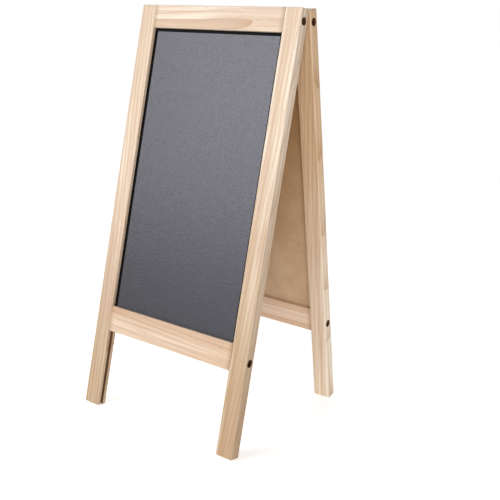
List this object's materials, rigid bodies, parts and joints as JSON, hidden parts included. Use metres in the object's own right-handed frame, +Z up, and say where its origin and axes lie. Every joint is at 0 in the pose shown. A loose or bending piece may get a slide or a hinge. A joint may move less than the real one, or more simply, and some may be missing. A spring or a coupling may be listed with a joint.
{
  "type": "tabletop easel",
  "caption": "Tabletop A-frame easel: two wooden frames hinged at the top, each holding a chalkboard panel in grooves; it folds flat and stands open.",
  "frame": {"origin": "on the surface the easel stands on, under the middle of the hinge line", "axes": "+Z up, +X to the right as seen from the front board, -Y towards the viewer of the front board"},
  "size_m": [0.185, 0.1806, 0.394],
  "materials": {
    "pine": "planed bare pine with eased edges",
    "chalkboard": "matte chalkboard paint on hardboard, bare brown hardboard on the back",
    "screw_steel": "black phosphated steel",
    "hinge_brass": "brass-plated steel"
  },
  "bodies": {
    "front_frame": {"front_board": "chalkboard", "front_bottom_left_screw": "screw_steel", "front_bottom_rail": "pine", "front_bottom_right_screw": "screw_steel", "front_left_leg": "pine", "front_right_leg": "pine", "front_top_left_screw": "screw_steel", "front_top_rail": "pine", "front_top_right_screw": "screw_steel", "left_hinge_front_leaf": "hinge_brass", "left_hinge_front_left_screw": "hinge_brass", "left_hinge_front_right_screw": "hinge_brass", "left_hinge_pin": "hinge_brass", "right_hinge_front_leaf": "hinge_brass", "right_hinge_front_left_screw": "hinge_brass", "right_hinge_front_right_screw": "hinge_brass", "right_hinge_pin": "hinge_brass"},
    "rear_frame": {"left_hinge_rear_leaf": "hinge_brass", "left_hinge_rear_left_screw": "hinge_brass", "left_hinge_rear_right_screw": "hinge_brass", "rear_board": "chalkboard", "rear_bottom_left_screw": "screw_steel", "rear_bottom_rail": "pine", "rear_bottom_right_screw": "screw_steel", "rear_left_leg": "pine", "rear_right_leg": "pine", "rear_top_left_screw": "screw_steel", "rear_top_rail": "pine", "rear_top_right_screw": "screw_steel", "right_hinge_rear_leaf": "hinge_brass", "right_hinge_rear_left_screw": "hinge_brass", "right_hinge_rear_right_screw": "hinge_brass"}
  },
  "joints": [
    {"name": "frame_hinge", "type": "hinge", "parent": "front_frame", "child": "rear_frame", "pos_m": [0, 0, 0.39234], "axis": [1, 0, 0], "range_deg": [-22.8, 157.2]}
  ]
}
